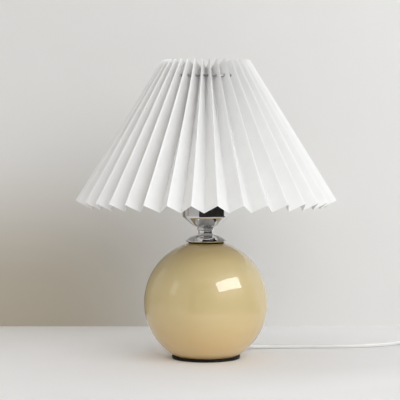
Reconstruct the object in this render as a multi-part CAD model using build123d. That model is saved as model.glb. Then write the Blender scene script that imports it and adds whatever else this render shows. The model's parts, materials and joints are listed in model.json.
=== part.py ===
from build123d import *
import math
import os

# Table lamp: glazed ceramic globe on a black foot, bright neck, pleated cone shade.
# Millimetres. Origin at the centre of the foot's underside, Z up, front towards -Y.

# General fits
RUN_CLEAR = 0.3
SEAT_GAP = 0.1
PRESS_GAP = 0.05

# Foot and base plate
FOOT_RADIUS = 38.6
FOOT_THICK = 1.2
PLATE_RADIUS = 39.4
PLATE_THICK = 2.1
PLATE_EDGE_ROUND = 0.8
SPIGOT_HEIGHT = 4.0
SPIGOT_WALL = 1.6

# Ceramic globe
GLOBE_RADIUS = 71.5
GLOBE_CENTRE_Z = 64.5
GLOBE_WALL = 5.0
GLOBE_TOP_Z = 132.9
GLOBE_CROWN_THICK = 4.4
GLOBE_HOLE_RADIUS = 8.0

# Threaded nipple that pulls the neck down on the globe
NIPPLE_RADIUS = 5.0
NIPPLE_BORE = 3.6
NIPPLE_BELOW_NUT = 3.0
NUT_ACROSS_FLATS = 14.0
NUT_HEIGHT = 4.0
WASHER_RADIUS = 14.0
WASHER_THICK = 1.5
RUBBER_RADIUS = 15.0
RUBBER_THICK = 1.6

# Bright neck
GASKET_RADIUS = 20.4
GASKET_BORE = 12.0
GASKET_THICK = 1.2
CANOPY_RADIUS = 23.9
CANOPY_HEIGHT = 8.9
CANOPY_TOP_RADIUS = 9.7
CANOPY_RIM_DROP = 2.0
SHEET_METAL = 1.2
SPOOL_FOOT_RADIUS = 9.2
SPOOL_WAIST_RADIUS = 8.7
SPOOL_LIP_RADIUS = 10.3
SPOOL_HEIGHT = 8.0
SPOOL_LIP_HEIGHT = 2.6
CUP_FLOOR_RADIUS = 10.4
CUP_RADIUS = 27.0
CUP_KNEE_RADIUS = 17.5
CUP_KNEE_HEIGHT = 4.0
CUP_BOWL_RADIUS = 25.9
CUP_BOWL_HEIGHT = 11.3
CUP_BELOW_FLANGE = 1.6

# Lampholder
HOLDER_RADIUS = 20.0
HOLDER_WALL = 2.0
HOLDER_BOSS_RADIUS = 8.5
HOLDER_BOSS_HEIGHT = 9.0
HOLDER_BASE_HEIGHT = 13.0
INSERT_THICK = 10.0
INSERT_LEDGE = 3.8
SHELL_WALL = 0.4
SHELL_HEIGHT = 23.0
TONGUE_WIDTH = 5.0
TONGUE_LENGTH = 14.0
TONGUE_THICK = 0.6
TONGUE_RISE = 4.0
BARREL_RADIUS = 19.5
BARREL_WALL = 4.6
BARREL_BELOW_BULB = 0.8
FLANGE_RADIUS = 23.0
FLANGE_THICK = 3.0
COLLAR_RADIUS = 25.4
COLLAR_GRIP_RADIUS = 23.4
COLLAR_LIP = 2.0
COLLAR_HEIGHT = 10.0
COLLAR_RIBS = 24
COLLAR_RIB_RADIUS = 0.7

# Bulb with a 27 mm screw cap
CAP_RADIUS = 13.0
CAP_HEIGHT = 24.0
CAP_WALL = 0.8
BULB_TIP_RADIUS = 4.5
BULB_TIP_HEIGHT = 1.4
BULB_INSULATOR_HEIGHT = 2.4
BULB_RADIUS = 22.5
BULB_BODY_HEIGHT = 21.0
BULB_BODY_FOOT_RADIUS = 14.6
BULB_DOME_RISE = 7.0
BULB_GLASS = 1.2

# Pleated shade and its wire carrier
PLEATS = 36
FRONT_FOLD_ANGLE = -90.0
RIDGE_BOTTOM_RADIUS = 150.0
RIDGE_BOTTOM_Z = 183.0
RIDGE_TOP_RADIUS = 51.0
RIDGE_TOP_Z = 343.0
PANEL_WIDTH = 20.0
SHEET_THICK = 0.6
RING_RADIUS = 50.5
RING_DROP = 19.0
RING_WIRE = 2.6
RING_HOLE_CLEAR = 0.5
SPOKES = 3
SPOKE_WIRE = 2.0
FITTER_RADIUS = 30.5
FITTER_THICK = 2.0
SPOKE_FOOT_RADIUS = 28.2

# Cord and the boot that it leaves the globe through
CORD_DIAMETER = 5.0
CORD_CLEAR = 0.15
BOOT_HEADING = 50.0
BOOT_DIP = 10.0
BOOT_WALL_REACH = 48.0
BOOT_WALL_Z = 11.0
BOOT_OUTSIDE = 28.0
BOOT_AHEAD = 12.6
BOOT_INSIDE = 19.0
BOOT_ROOT_RADIUS = 4.2
BOOT_TIP_RADIUS = 3.3
BOOT_COLLAR_RADIUS = 5.6
BOOT_COLLAR_LENGTH = 3.0

# Route of the cord on the table, from the boot to the switch
CORD_ROUTE = [
    (68.8, 74.6, 2.9),
    (86.0, 77.6, 2.5),
    (110.0, 78.6, 2.5),
    (140.0, 79.2, 2.5),
    (172.0, 81.6, 2.5),
    (200.0, 87.0, 2.5),
    (226.0, 95.6, 3.6),
]

# Put-away length: in-line switch, coil and plug lie in one frame of their own
STOW_ORIGIN = (266.0, 110.2)
STOW_HEADING = 20.5
CORD_ENTRY = 8.0
CORD_RUN_IN = 14.0

# In-line switch
SWITCH_LENGTH = 60.0
SWITCH_WIDTH = 24.0
SWITCH_BASE_HEIGHT = 6.5
SWITCH_COVER_HEIGHT = 8.0
SWITCH_WALL = 1.8
SWITCH_ROUND = 2.6
ROCKER_RADIUS = 9.0
ROCKER_WIDTH = 9.4
ROCKER_PIVOT_Z = 9.0
ROCKER_TRAVEL = 16.0
ROCKER_PROUD = 0.4
ROCKER_DEPTH = 2.8
ROCKER_CLEAR = 0.4
PIN_RADIUS = 1.0
CHEEK_LENGTH = 7.0
CHEEK_DEPTH = 2.6
SCREW_RADIUS = 1.2
SCREW_HEAD_RADIUS = 2.2
SCREW_HEAD_HEIGHT = 1.6
SCREW_LENGTH = 9.0
SCREW_BOSS_RADIUS = 3.2
SCREW_ALONG = 16.0
SCREW_ASIDE = 7.2
CONTACT_LENGTH = 9.0
CONTACT_WIDTH = 3.0
CONTACT_THICK = 0.6
CONTACT_SPACING = 11.0

# Coil of the length that is put away, and its tie
COIL_MEAN_RADIUS = 30.1
COIL_PITCH = 5.6
COIL_TURNS = 7.5
COIL_LAYER = 5.6
COIL_REST_Z = 3.7
COIL_LEAD = 36.0
COIL_STRAIGHT = 6.0
TIE_WIDTH = 5.0
TIE_THICK = 0.8
TIE_CLEAR = 0.3

# Two-pin plug
PLUG_WIDTH = 35.3
PLUG_THICK = 13.7
PLUG_LENGTH = 28.0
PLUG_NECK_WIDTH = 15.0
PLUG_NECK_THICK = 11.0
PLUG_RELIEF = 24.0
PLUG_RELIEF_RADIUS = 5.0
PLUG_TIP_RADIUS = 3.3
PLUG_AXIS_Z = 7.0
PLUG_TAIL = 32.0
PIN_SPACING = 19.0
PLUG_PIN_RADIUS = 2.0
PLUG_PIN_LENGTH = 19.0
PLUG_PIN_ROOT = 7.0
PLUG_PIN_ROOT_RADIUS = 1.5

# Heights that follow from the sizes above
CORD_RADIUS = CORD_DIAMETER / 2
PLATE_TOP_Z = FOOT_THICK + PLATE_THICK
GLOBE_INNER_RADIUS = GLOBE_RADIUS - GLOBE_WALL
CROWN_UNDER_Z = GLOBE_TOP_Z - GLOBE_CROWN_THICK
CANOPY_SEAT_Z = GLOBE_TOP_Z + GASKET_THICK
CANOPY_TOP_Z = CANOPY_SEAT_Z + CANOPY_HEIGHT
SPOOL_TOP_Z = CANOPY_TOP_Z + SPOOL_HEIGHT
CUP_FLOOR_Z = SPOOL_TOP_Z + SHEET_METAL
HOLDER_Z = CUP_FLOOR_Z + NUT_HEIGHT + SEAT_GAP
INSERT_Z = HOLDER_Z + HOLDER_BASE_HEIGHT
INSERT_TOP_Z = INSERT_Z + INSERT_THICK
FITTER_Z = INSERT_TOP_Z + FLANGE_THICK + SEAT_GAP
FITTER_TOP_Z = FITTER_Z + FITTER_THICK
COLLAR_Z = FITTER_TOP_Z + SEAT_GAP
NIPPLE_HOLE = NIPPLE_RADIUS + RUN_CLEAR
RING_Z = RIDGE_TOP_Z - RING_DROP
TONGUE_TOP_Z = INSERT_TOP_Z + TONGUE_RISE
BULB_TIP_Z = TONGUE_TOP_Z + TONGUE_THICK + RUN_CLEAR
CAP_Z = BULB_TIP_Z + BULB_TIP_HEIGHT + BULB_INSULATOR_HEIGHT
BULB_BODY_Z = CAP_Z + CAP_HEIGHT
BARREL_TOP_Z = BULB_BODY_Z - BARREL_BELOW_BULB
BULB_RIM_Z = BULB_BODY_Z + BULB_BODY_HEIGHT
BULB_CENTRE_Z = BULB_RIM_Z + BULB_DOME_RISE


def on_sphere(radius, z):
    """Distance from the lamp's axis of a globe-centred sphere at height z."""
    return math.sqrt(radius ** 2 - (z - GLOBE_CENTRE_Z) ** 2)


def turned(*outline):
    """Solid turned about the lamp's axis from a closed outline of lines and arcs in (r, z)."""
    return revolve(Plane.XZ * make_face(list(outline)), Axis.Z)


def turned_points(*points):
    """Solid turned about the lamp's axis from straight-sided (r, z) points."""
    return turned(*Polyline(*points, close=True).edges())


def ring_solid(outer, bore, low, high):
    """Plain ring about the lamp's axis."""
    return turned_points((bore, low), (outer, low), (outer, high), (bore, high))


def hex_nut(low):
    """Hexagon nut on the nipple."""
    flats = RegularPolygon(NUT_ACROSS_FLATS / 2, 6, major_radius=False)
    nut = Pos(0, 0, low) * extrude(flats - Circle(NIPPLE_RADIUS + PRESS_GAP), NUT_HEIGHT)
    return nut


def globe_arc(radius, low, high):
    """Arc of a globe-centred sphere's outline between two heights."""
    start = math.degrees(math.asin((low - GLOBE_CENTRE_Z) / radius))
    end = math.degrees(math.asin((high - GLOBE_CENTRE_Z) / radius))
    return CenterArc((0, GLOBE_CENTRE_Z), radius, start, end - start)


# Foot, base plate and globe

def foot_pad():
    return extrude(Circle(FOOT_RADIUS), FOOT_THICK)


def base_plate():
    """Black plate that closes the globe, with a spigot that finds the globe's opening."""
    plate = Pos(0, 0, FOOT_THICK) * extrude(Circle(PLATE_RADIUS), PLATE_THICK)
    plate = fillet(plate.edges().group_by(Axis.Z)[-1], PLATE_EDGE_ROUND)
    spigot_radius = on_sphere(GLOBE_INNER_RADIUS, PLATE_TOP_Z) - RUN_CLEAR
    spigot = ring_solid(spigot_radius, spigot_radius - SPIGOT_WALL, PLATE_TOP_Z, PLATE_TOP_Z + SPIGOT_HEIGHT)
    return plate + spigot


def boot_plane(reach):
    """Plane across the cord where it has come this far from the axis, facing outwards."""
    heading = math.radians(BOOT_HEADING)
    dip = math.radians(BOOT_DIP)
    outward = Vector(math.cos(heading) * math.cos(dip), math.sin(heading) * math.cos(dip), -math.sin(dip))
    foot = Vector(math.cos(heading) * BOOT_WALL_REACH, math.sin(heading) * BOOT_WALL_REACH, BOOT_WALL_Z)
    return Plane(foot + outward * (reach - BOOT_WALL_REACH), z_dir=outward)


def ceramic_globe():
    """Hollow globe, open below, with a flat crown for the neck and a hole for the boot."""
    low = PLATE_TOP_Z
    outer_low = on_sphere(GLOBE_RADIUS, low)
    outer_top = on_sphere(GLOBE_RADIUS, GLOBE_TOP_Z)
    inner_low = on_sphere(GLOBE_INNER_RADIUS, low)
    inner_top = on_sphere(GLOBE_INNER_RADIUS, CROWN_UNDER_Z)
    globe = turned(
        globe_arc(GLOBE_RADIUS, low, GLOBE_TOP_Z),
        Line((outer_top, GLOBE_TOP_Z), (GLOBE_HOLE_RADIUS, GLOBE_TOP_Z)),
        Line((GLOBE_HOLE_RADIUS, GLOBE_TOP_Z), (GLOBE_HOLE_RADIUS, CROWN_UNDER_Z)),
        Line((GLOBE_HOLE_RADIUS, CROWN_UNDER_Z), (inner_top, CROWN_UNDER_Z)),
        globe_arc(GLOBE_INNER_RADIUS, low, CROWN_UNDER_Z),
        Line((inner_low, low), (outer_low, low)),
    )
    drill = Cylinder(BOOT_ROOT_RADIUS + SEAT_GAP, 2 * GLOBE_WALL + BOOT_INSIDE)
    return globe - boot_plane(BOOT_WALL_REACH) * drill


def cord_boot():
    """Tapered strain relief through the globe's wall, with a collar inside."""
    bore = CORD_RADIUS + CORD_CLEAR
    outline = Polyline(
        (bore, -BOOT_INSIDE),
        (BOOT_COLLAR_RADIUS, -BOOT_INSIDE),
        (BOOT_COLLAR_RADIUS, BOOT_COLLAR_LENGTH - BOOT_INSIDE),
        (BOOT_ROOT_RADIUS, BOOT_COLLAR_LENGTH - BOOT_INSIDE),
        (BOOT_ROOT_RADIUS, GLOBE_WALL),
        (BOOT_TIP_RADIUS, BOOT_OUTSIDE),
        (bore, BOOT_OUTSIDE),
        close=True,
    )
    boot = revolve(Plane.XZ * make_face(outline), Axis.Z)
    return boot_plane(BOOT_WALL_REACH) * boot


# Neck

def threaded_nipple():
    low = CROWN_UNDER_Z - RUBBER_THICK - WASHER_THICK - NUT_HEIGHT - NIPPLE_BELOW_NUT
    return ring_solid(NIPPLE_RADIUS, NIPPLE_BORE, low, HOLDER_Z + HOLDER_BOSS_HEIGHT)


def rubber_washer():
    return ring_solid(RUBBER_RADIUS, NIPPLE_HOLE, CROWN_UNDER_Z - RUBBER_THICK, CROWN_UNDER_Z)


def steel_washer():
    high = CROWN_UNDER_Z - RUBBER_THICK
    return ring_solid(WASHER_RADIUS, NIPPLE_HOLE, high - WASHER_THICK, high)


def clamp_nut():
    return hex_nut(CROWN_UNDER_Z - RUBBER_THICK - WASHER_THICK - NUT_HEIGHT)


def canopy_gasket():
    return ring_solid(GASKET_RADIUS, GASKET_BORE, GLOBE_TOP_Z, CANOPY_SEAT_Z)


def canopy():
    """Spun bell with a rim that curls in to its seat on the gasket."""
    rim_z = CANOPY_SEAT_Z + CANOPY_RIM_DROP
    seat_radius = GASKET_RADIUS - SEAT_GAP
    crown = (CANOPY_TOP_RADIUS, CANOPY_TOP_Z)
    rim = (CANOPY_RADIUS, rim_z)
    bulge = (0.5 * (crown[0] + rim[0]), 0.5 * (crown[1] + rim[1]) + SHEET_METAL)
    inner_crown = (CANOPY_TOP_RADIUS - 0.3 * SHEET_METAL, CANOPY_TOP_Z - SHEET_METAL)
    inner_rim = (CANOPY_RADIUS - 1.4 * SHEET_METAL, rim_z)
    inner_bulge = (bulge[0] - 0.4 * SHEET_METAL, bulge[1] - SHEET_METAL)
    curl = EllipticalCenterArc(
        (seat_radius, rim_z), CANOPY_RADIUS - seat_radius, CANOPY_RIM_DROP, start_angle=270, arc_size=90
    )
    return turned(
        Line((NIPPLE_HOLE, CANOPY_TOP_Z), crown),
        ThreePointArc(crown, bulge, rim),
        curl,
        Line((seat_radius, CANOPY_SEAT_Z), (seat_radius - SHEET_METAL, CANOPY_SEAT_Z)),
        Line((seat_radius - SHEET_METAL, CANOPY_SEAT_Z), inner_rim),
        ThreePointArc(inner_rim, inner_bulge, inner_crown),
        Line(inner_crown, (NIPPLE_HOLE, inner_crown[1])),
        Line((NIPPLE_HOLE, inner_crown[1]), (NIPPLE_HOLE, CANOPY_TOP_Z)),
    )


def neck_spool():
    """Waisted spacer with a round lip under the cup."""
    lip_z = SPOOL_TOP_Z - SPOOL_LIP_HEIGHT
    waist = (SPOOL_WAIST_RADIUS, 0.5 * (CANOPY_TOP_Z + lip_z))
    lip_root = (SPOOL_LIP_RADIUS - 0.25 * SPOOL_LIP_HEIGHT, lip_z)
    lip_top = (SPOOL_LIP_RADIUS - 0.25 * SPOOL_LIP_HEIGHT, SPOOL_TOP_Z)
    return turned(
        Line((NIPPLE_HOLE, CANOPY_TOP_Z), (SPOOL_FOOT_RADIUS, CANOPY_TOP_Z)),
        ThreePointArc((SPOOL_FOOT_RADIUS, CANOPY_TOP_Z), waist, lip_root),
        ThreePointArc(lip_root, (SPOOL_LIP_RADIUS, 0.5 * (lip_z + SPOOL_TOP_Z)), lip_top),
        Line(lip_top, (NIPPLE_HOLE, SPOOL_TOP_Z)),
        Line((NIPPLE_HOLE, SPOOL_TOP_Z), (NIPPLE_HOLE, CANOPY_TOP_Z)),
    )


def socket_cup():
    """Straight-sided cup on a bowl; its open top ends just under the lampholder's flange."""
    floor = Vector(CUP_FLOOR_RADIUS, SPOOL_TOP_Z)
    knee = Vector(CUP_KNEE_RADIUS, SPOOL_TOP_Z + CUP_KNEE_HEIGHT)
    bowl = Vector(CUP_BOWL_RADIUS, SPOOL_TOP_Z + CUP_BOWL_HEIGHT)
    way = (bowl - knee).normalized()
    inward = Vector(-way.Y, way.X) * SHEET_METAL
    rise = math.tan((math.atan2(way.Y, way.X) + math.pi / 2) / 2)
    low = Vector(CUP_RADIUS, bowl.Y + (CUP_RADIUS - bowl.X) * rise)
    inner = CUP_RADIUS - SHEET_METAL
    inner_floor = Vector(CUP_FLOOR_RADIUS - 0.4 * SHEET_METAL, CUP_FLOOR_Z)
    inner_knee = knee + inward
    inner_bowl = bowl + inward
    inner_low = Vector(inner, inner_bowl.Y + (inner - inner_bowl.X) * rise)
    bead = 0.5 * SHEET_METAL
    high = INSERT_TOP_Z - CUP_BELOW_FLANGE - bead
    return turned(
        Line((NIPPLE_HOLE, SPOOL_TOP_Z), floor),
        TangentArc(knee, floor, tangent=-way),
        Line(knee, bowl),
        TangentArc(bowl, low, tangent=way),
        Line(low, (CUP_RADIUS, high)),
        ThreePointArc((CUP_RADIUS, high), (CUP_RADIUS - bead, high + bead), (inner, high)),
        Line((inner, high), inner_low),
        TangentArc(inner_bowl, inner_low, tangent=way),
        Line(inner_knee, inner_bowl),
        TangentArc(inner_knee, inner_floor, tangent=-way),
        Line(inner_floor, (NIPPLE_HOLE, CUP_FLOOR_Z)),
        Line((NIPPLE_HOLE, CUP_FLOOR_Z), (NIPPLE_HOLE, SPOOL_TOP_Z)),
    )


def cup_nut():
    return hex_nut(CUP_FLOOR_Z)


# Lampholder

def lampholder_cap():
    """Lower half of the lampholder: a boss on the nipple, a cone and a ledge for the insert."""
    boss_bore = NIPPLE_RADIUS + PRESS_GAP
    cavity = HOLDER_RADIUS - HOLDER_WALL
    ledge = cavity - INSERT_LEDGE
    floor_z = HOLDER_Z + HOLDER_BOSS_HEIGHT
    return turned_points(
        (boss_bore, HOLDER_Z),
        (HOLDER_BOSS_RADIUS, HOLDER_Z),
        (HOLDER_RADIUS, INSERT_Z - HOLDER_WALL),
        (HOLDER_RADIUS, INSERT_TOP_Z),
        (cavity, INSERT_TOP_Z),
        (cavity, INSERT_Z),
        (ledge, INSERT_Z),
        (ledge, floor_z),
        (boss_bore, floor_z),
    )


def lampholder_insert():
    """Ceramic block that carries the contacts."""
    return ring_solid(HOLDER_RADIUS - HOLDER_WALL - SEAT_GAP, NIPPLE_BORE, INSERT_Z, INSERT_TOP_Z)


def screw_shell():
    """Thin brass shell that the bulb's cap screws into."""
    bore = CAP_RADIUS + RUN_CLEAR
    outer = bore + SHELL_WALL
    lip = math.hypot(TONGUE_LENGTH, TONGUE_WIDTH) / 2 + RUN_CLEAR
    return turned_points(
        (lip, INSERT_TOP_Z),
        (outer, INSERT_TOP_Z),
        (outer, INSERT_TOP_Z + SHELL_HEIGHT),
        (bore, INSERT_TOP_Z + SHELL_HEIGHT),
        (bore, INSERT_TOP_Z + SHELL_WALL),
        (lip, INSERT_TOP_Z + SHELL_WALL),
    )


def centre_contact():
    """Sprung brass tongue bent up from the insert to meet the bulb's tip."""
    half = TONGUE_LENGTH / 2
    spine = Polyline(
        (-half, INSERT_TOP_Z),
        (half, INSERT_TOP_Z),
        (half, INSERT_TOP_Z + TONGUE_THICK),
        (-half + 2 * TONGUE_THICK, INSERT_TOP_Z + TONGUE_THICK),
        (BULB_TIP_RADIUS / 2, TONGUE_TOP_Z),
        (BULB_TIP_RADIUS / 2, TONGUE_TOP_Z + TONGUE_THICK),
        (-BULB_TIP_RADIUS / 2, TONGUE_TOP_Z + TONGUE_THICK),
        (-half, INSERT_TOP_Z + 2 * TONGUE_THICK),
        close=True,
    )
    return Pos(0, TONGUE_WIDTH / 2, 0) * extrude(Plane.XZ * make_face(spine), TONGUE_WIDTH)


def lampholder_barrel():
    """Upper half of the lampholder, with the flange that the shade rests on."""
    bore = BARREL_RADIUS - BARREL_WALL
    return turned_points(
        (bore, INSERT_TOP_Z),
        (FLANGE_RADIUS, INSERT_TOP_Z),
        (FLANGE_RADIUS, INSERT_TOP_Z + FLANGE_THICK),
        (BARREL_RADIUS, INSERT_TOP_Z + FLANGE_THICK),
        (BARREL_RADIUS, BARREL_TOP_Z),
        (bore, BARREL_TOP_Z),
    )


def shade_collar():
    """Ribbed ring that screws down the barrel and traps the shade's fitter."""
    bore = BARREL_RADIUS + SEAT_GAP
    collar = turned_points(
        (bore, COLLAR_Z),
        (COLLAR_RADIUS, COLLAR_Z),
        (COLLAR_RADIUS, COLLAR_Z + COLLAR_LIP),
        (COLLAR_GRIP_RADIUS, COLLAR_Z + COLLAR_LIP),
        (COLLAR_GRIP_RADIUS, COLLAR_Z + COLLAR_HEIGHT),
        (bore, COLLAR_Z + COLLAR_HEIGHT),
    )
    ribs = PolarLocations(COLLAR_GRIP_RADIUS, COLLAR_RIBS) * Cylinder(
        COLLAR_RIB_RADIUS, COLLAR_HEIGHT, align=(Align.CENTER, Align.CENTER, Align.MIN)
    )
    return collar + Pos(0, 0, COLLAR_Z) * Part(ribs)


# Bulb

def bulb_contact():
    return Pos(0, 0, BULB_TIP_Z) * extrude(Circle(BULB_TIP_RADIUS), BULB_TIP_HEIGHT)


def bulb_insulator():
    low = BULB_TIP_Z + BULB_TIP_HEIGHT
    return turned_points((0, low), (BULB_TIP_RADIUS, low), (CAP_RADIUS - CAP_WALL, CAP_Z), (0, CAP_Z))


def bulb_cap():
    return ring_solid(CAP_RADIUS, CAP_RADIUS - CAP_WALL, CAP_Z, BULB_BODY_Z)


def bulb_body():
    """Moulded body: a stem inside the cap that flares to the dome's rim."""
    stem = CAP_RADIUS - CAP_WALL - PRESS_GAP
    rim = math.sqrt(BULB_RADIUS ** 2 - BULB_DOME_RISE ** 2)
    flare = (0.5 * (BULB_BODY_FOOT_RADIUS + rim) + 1.0, 0.5 * (BULB_BODY_Z + BULB_RIM_Z))
    return turned(
        Line((0, CAP_Z), (stem, CAP_Z)),
        Line((stem, CAP_Z), (stem, BULB_BODY_Z)),
        Line((stem, BULB_BODY_Z), (BULB_BODY_FOOT_RADIUS, BULB_BODY_Z)),
        ThreePointArc((BULB_BODY_FOOT_RADIUS, BULB_BODY_Z), flare, (rim, BULB_RIM_Z)),
        Line((rim, BULB_RIM_Z), (0, BULB_RIM_Z)),
        Line((0, BULB_RIM_Z), (0, CAP_Z)),
    )


def bulb_dome():
    """Opal dome on the body's rim."""
    ball = Sphere(BULB_RADIUS) - Sphere(BULB_RADIUS - BULB_GLASS)
    cap = Pos(0, 0, -BULB_DOME_RISE) * Box(
        3 * BULB_RADIUS, 3 * BULB_RADIUS, 3 * BULB_RADIUS, align=(Align.CENTER, Align.CENTER, Align.MIN)
    )
    return Pos(0, 0, BULB_CENTRE_Z) * (ball & cap)


# Shade

def fold_slope():
    """Outward run of a ridge fold for each millimetre of drop."""
    return (RIDGE_BOTTOM_RADIUS - RIDGE_TOP_RADIUS) / (RIDGE_TOP_Z - RIDGE_BOTTOM_Z)


def valley_of(ridge_radius, ridge_z):
    """Radius and height of the valley fold's end, one panel width from the ridge fold's end.

    The sheet is cut square to its folds, so the valley's end hangs below the ridge's.
    """
    half_pitch = math.pi / PLEATS
    along = math.cos(half_pitch)
    across = math.sin(half_pitch)
    lean = 1 + fold_slope() ** 2
    square = lean * along ** 2 + across ** 2
    linear = -2 * lean * ridge_radius * along
    constant = lean * ridge_radius ** 2 - PANEL_WIDTH ** 2
    radius = (-linear - math.sqrt(linear ** 2 - 4 * square * constant)) / (2 * square)
    return radius, ridge_z + (radius * along - ridge_radius) * fold_slope()


def fold_inset(ridge_radius, valley_radius):
    """Radial step from the sheet's outer face to its inner face at the folds."""
    half_pitch = math.pi / PLEATS
    across = valley_radius * math.sin(half_pitch)
    depth = ridge_radius - valley_radius * math.cos(half_pitch)
    return SHEET_THICK * math.hypot(across, depth) / across


def edge_corners(ridge_radius, ridge_z, inset):
    """Corners of one edge of the sheet in turn, on its outer face or, inset by one, its inner face."""
    valley_radius, valley_z = valley_of(ridge_radius, ridge_z)
    step = inset * fold_inset(ridge_radius, valley_radius)
    corners = []
    for fold in range(2 * PLEATS):
        angle = math.radians(FRONT_FOLD_ANGLE + fold * 180 / PLEATS)
        radius, z = (valley_radius, valley_z) if fold % 2 == 0 else (ridge_radius, ridge_z)
        corners.append(Vector((radius - step) * math.cos(angle), (radius - step) * math.sin(angle), z))
    return corners


def pleat_corners(inset):
    """For each fold in turn, the sheet's bottom and top corners on one face."""
    bottom = edge_corners(RIDGE_BOTTOM_RADIUS, RIDGE_BOTTOM_Z, inset)
    top = edge_corners(RIDGE_TOP_RADIUS, RIDGE_TOP_Z, inset)
    return list(zip(bottom, top))


def ruled(first, second, third, fourth):
    """Ruled face between the line first-second and the line third-fourth."""
    return Face.make_surface_from_curves(Edge.make_line(first, second), Edge.make_line(third, fourth))


def pleated_shade():
    """One pleated sheet closed to a cone, with a hole in every panel for the top ring."""
    outer = pleat_corners(0)
    inner = pleat_corners(1)
    faces = []
    for fold in range(2 * PLEATS):
        after = (fold + 1) % (2 * PLEATS)
        faces.append(ruled(*outer[fold], *outer[after]))
        faces.append(ruled(*inner[fold], *inner[after]))
        faces.append(ruled(outer[fold][0], inner[fold][0], outer[after][0], inner[after][0]))
        faces.append(ruled(outer[fold][1], inner[fold][1], outer[after][1], inner[after][1]))
    sheet = Solid(Shell(faces))
    reach = RING_WIRE / 2 + RING_HOLE_CLEAR
    outside = RegularPolygon(RING_RADIUS + reach, 2 * PLEATS, major_radius=False)
    inside = RegularPolygon(RING_RADIUS - reach, 2 * PLEATS)
    band = extrude(Rot(0, 0, FRONT_FOLD_ANGLE) * (outside - inside), 2 * reach)
    return sheet - Pos(0, 0, RING_Z - reach) * band


def top_ring():
    return Pos(0, 0, RING_Z) * Torus(RING_RADIUS, RING_WIRE / 2)


def fitter_ring():
    """Flat ring that sits on the lampholder's flange."""
    return ring_solid(FITTER_RADIUS, BARREL_RADIUS + RUN_CLEAR, FITTER_Z, FITTER_TOP_Z)


def carrier_spokes():
    """Wires from the fitter to the top ring, each inside a ridge of the sheet."""
    group = []
    for spoke in range(SPOKES):
        ridge = 1 + 2 * round(spoke * PLEATS / SPOKES)
        turn = FRONT_FOLD_ANGLE + ridge * 180 / PLEATS
        foot = Vector(SPOKE_FOOT_RADIUS, 0, FITTER_TOP_Z)
        head = Vector(RING_RADIUS, 0, RING_Z)
        lean = (head - foot).normalized()
        start = foot - lean * SPOKE_WIRE
        wire = extrude(Plane(start, z_dir=lean) * Circle(SPOKE_WIRE / 2), (head - start).length)
        above = Pos(0, 0, FITTER_TOP_Z) * Box(
            2 * FITTER_RADIUS + 2 * RING_RADIUS,
            2 * FITTER_RADIUS + 2 * RING_RADIUS,
            RIDGE_TOP_Z,
            align=(Align.CENTER, Align.CENTER, Align.MIN),
        )
        group.append(Rot(0, 0, turn) * ((wire & above) - top_ring()))
    return Compound(group)


# Cord

def bend_radii(points):
    """Largest even bend at each inner point of a route."""
    radii = []
    for before, here, after in zip(points, points[1:], points[2:]):
        run_in = Vector(here) - Vector(before)
        run_out = Vector(after) - Vector(here)
        turn = math.radians(run_in.get_angle(run_out))
        radii.append(0.45 * min(run_in.length, run_out.length) / math.tan(turn / 2))
    return radii


def tube_along(points, radii, label):
    """Round cord along a route of straight runs joined by tangent arcs."""
    path = FilletPolyline(*points, radius=radii)
    start = Plane(points[0], z_dir=path % 0)
    tube = sweep(start * Circle(CORD_RADIUS), path=path)
    expected = math.pi * CORD_RADIUS ** 2 * path.length
    print(label, "radii", [round(radius, 1) for radius in radii], "length", round(path.length, 1))
    print(label, "volume over section times length", round(tube.volume / expected, 5))
    return tube


def stow(shape):
    """Place a piece of the put-away length on the table."""
    return Pos(*STOW_ORIGIN, 0) * Rot(0, 0, STOW_HEADING) * shape


def stow_point(along, aside, z):
    """A point of the put-away length's frame, in the lamp's frame."""
    heading = math.radians(STOW_HEADING)
    x = STOW_ORIGIN[0] + along * math.cos(heading) - aside * math.sin(heading)
    y = STOW_ORIGIN[1] + along * math.sin(heading) + aside * math.cos(heading)
    return (x, y, z)


def cord_inner():
    """Cord from the boot's tip, across the globe and up the nipple to the insert."""
    dip = math.radians(BOOT_DIP)
    bend_z = BOOT_WALL_Z + BOOT_WALL_REACH * math.tan(dip)
    boot_inner_end = BOOT_WALL_REACH / math.cos(dip) - BOOT_INSIDE
    turn = math.pi / 2 - dip
    points = [
        tuple(boot_plane(BOOT_WALL_REACH + BOOT_OUTSIDE).origin),
        (0, 0, bend_z),
        (0, 0, INSERT_Z),
    ]
    return tube_along(points, [(boot_inner_end - CORD_RADIUS) / math.tan(turn / 2)], "cord_inner")


def cord_lead():
    """Cord on the table from the boot to the switch."""
    boot_tip = BOOT_WALL_REACH + BOOT_OUTSIDE
    points = [
        tuple(boot_plane(boot_tip).origin),
        tuple(boot_plane(boot_tip + BOOT_AHEAD).origin),
        *CORD_ROUTE,
        stow_point(-CORD_RUN_IN, 0, SWITCH_BASE_HEIGHT),
        stow_point(CORD_ENTRY, 0, SWITCH_BASE_HEIGHT),
    ]
    return tube_along(points, bend_radii(points), "cord_lead")


# Switch, modelled with its length along X from the cord's entry

def switch_outline(inset, height):
    slot = SlotOverall(SWITCH_LENGTH - 2 * inset, SWITCH_WIDTH - 2 * inset)
    return Pos(SWITCH_LENGTH / 2, 0, 0) * extrude(slot, height)


def switch_cord_holes():
    """Cord entries at both ends, on the parting plane."""
    hole = Rot(0, 90, 0) * Cylinder(CORD_RADIUS + CORD_CLEAR, 2 * CORD_ENTRY)
    ends = [Pos(end, 0, SWITCH_BASE_HEIGHT) * hole for end in (0, SWITCH_LENGTH)]
    return Compound(ends)


def switch_screw_places():
    centre = SWITCH_LENGTH / 2
    return [(centre - SCREW_ALONG, SCREW_ASIDE), (centre + SCREW_ALONG, -SCREW_ASIDE)]


def upright(radius, low, high):
    return Pos(0, 0, low) * extrude(Circle(radius), high - low)


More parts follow.
